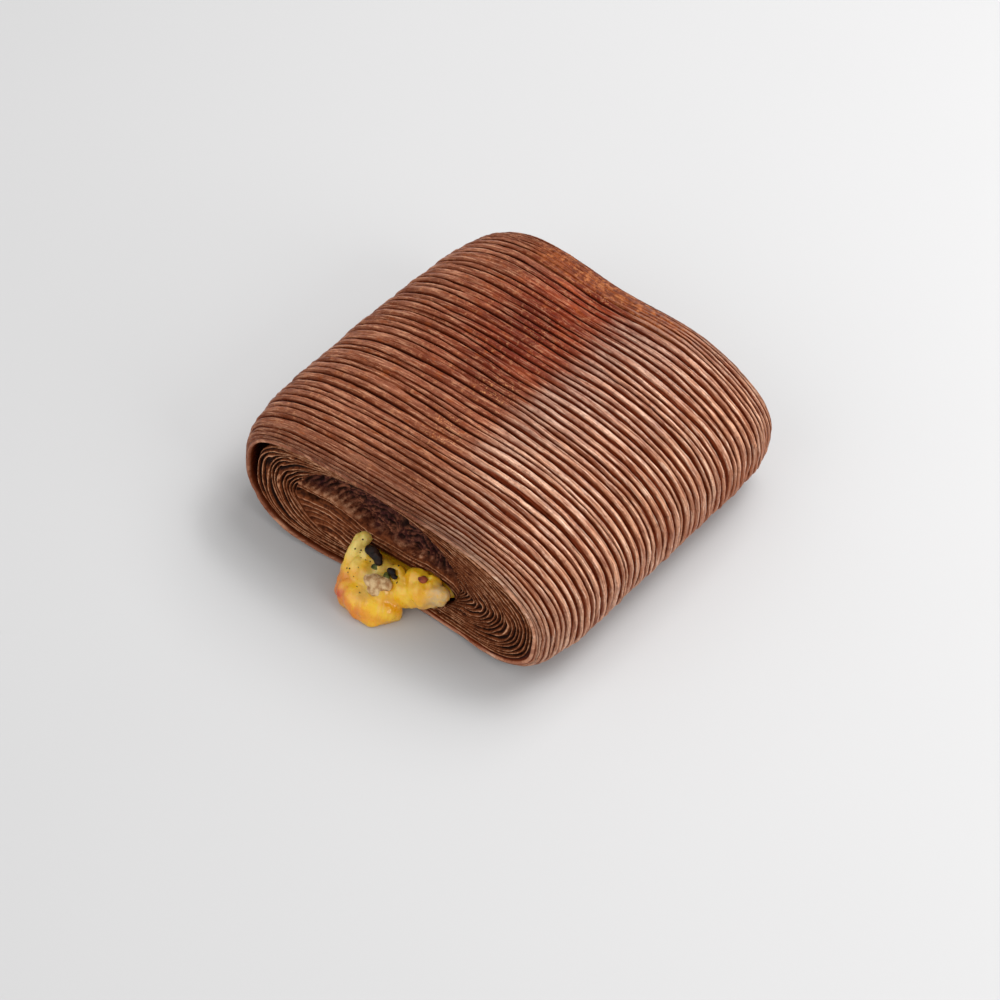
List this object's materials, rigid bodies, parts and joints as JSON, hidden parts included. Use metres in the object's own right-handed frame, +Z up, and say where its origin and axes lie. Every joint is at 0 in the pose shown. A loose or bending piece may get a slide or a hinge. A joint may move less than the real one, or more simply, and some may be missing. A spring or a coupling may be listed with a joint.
{
  "type": "pain suisse",
  "caption": "Flat, rectangular roll of ridged chocolate laminated pastry, open at both ends, with melted cheese filling oozing out of the front.",
  "frame": {"origin": "middle of the flat underside", "axes": "+Z up; +Y along the roll's axis, away from the open front end where the filling shows; +X to the right as seen from the front"},
  "size_m": [0.1068, 0.1083, 0.0405],
  "materials": {
    "crust": "baked, satin egg glaze",
    "cheese": "melted, glossy"
  },
  "bodies": {
    "root": {"pastry": "crust", "filling": "cheese"}
  },
  "joints": []
}
